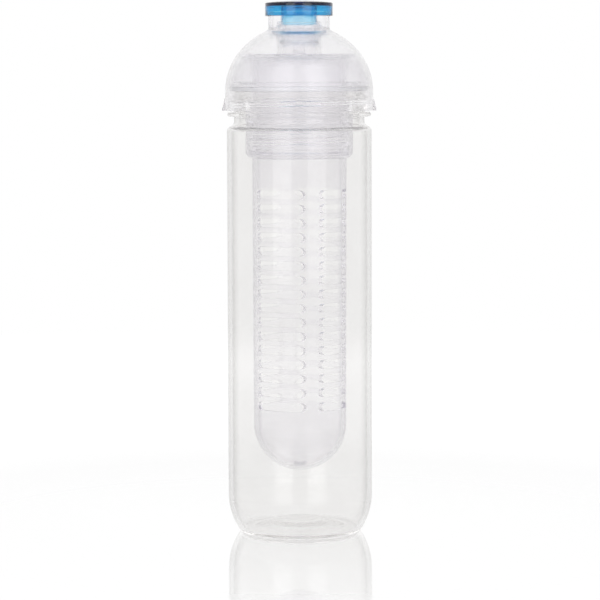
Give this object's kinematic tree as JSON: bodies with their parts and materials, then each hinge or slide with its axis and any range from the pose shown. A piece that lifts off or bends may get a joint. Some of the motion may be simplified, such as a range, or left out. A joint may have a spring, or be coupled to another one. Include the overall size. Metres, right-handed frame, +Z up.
{
  "type": "fruit infuser water bottle",
  "caption": "Clear sports bottle with a domed screw lid, a push-pull drinking cap and a slotted infuser tube that hangs from the lid to hold fruit in the water.",
  "frame": {"origin": "centre of the bottle's base, on the surface that it stands on", "axes": "+Z up along the bottle's axis, -Y the front"},
  "size_m": [0.0692, 0.0692, 0.2389],
  "materials": {
    "clear_bottle": "glossy clear",
    "clear_lid": "glossy clear",
    "clear_insert": "glossy clear",
    "clear_infuser": "glossy clear",
    "blue_cap": "glossy translucent blue",
    "clear_silicone": "satin translucent"
  },
  "bodies": {
    "bottle": {"bottle_body": "clear_bottle"},
    "seal_ring": {"neck_seal": "clear_silicone"},
    "lid": {"lid_dome": "clear_lid", "lid_insert": "clear_insert"},
    "spout": {"pull_cap": "blue_cap", "valve_stem": "clear_insert", "stem_seal": "clear_silicone"},
    "infuser": {"infuser_tube": "clear_infuser"},
    "collar": {"infuser_collar": "clear_infuser"}
  },
  "joints": [
    {"name": "lid_lift", "type": "slide", "parent": "bottle", "child": "seal_ring", "axis": [0, 0, 1], "range_m": [0, 0.007]},
    {"name": "lid_screw", "type": "hinge", "parent": "seal_ring", "child": "lid", "pos_m": [0, 0, 0.2], "axis": [0, 0, 1], "range_deg": [0, 630]},
    {"name": "cap_pull", "type": "slide", "parent": "lid", "child": "spout", "axis": [0, 0, 1], "range_m": [0, 0.0057]},
    {"name": "infuser_drop", "type": "slide", "parent": "lid", "child": "infuser", "axis": [0, 0, -1], "range_m": [0, 0.009]},
    {"name": "collar_screw", "type": "hinge", "parent": "infuser", "child": "collar", "pos_m": [0, 0, 0.18], "axis": [0, 0, -1], "range_deg": [0, 720]}
  ],
  "couplings": [
    {"joint": "lid_lift", "follows": "lid_screw", "m_per_rad": 0.00063662},
    {"joint": "infuser_drop", "follows": "collar_screw", "m_per_rad": 0.0007162}
  ]
}
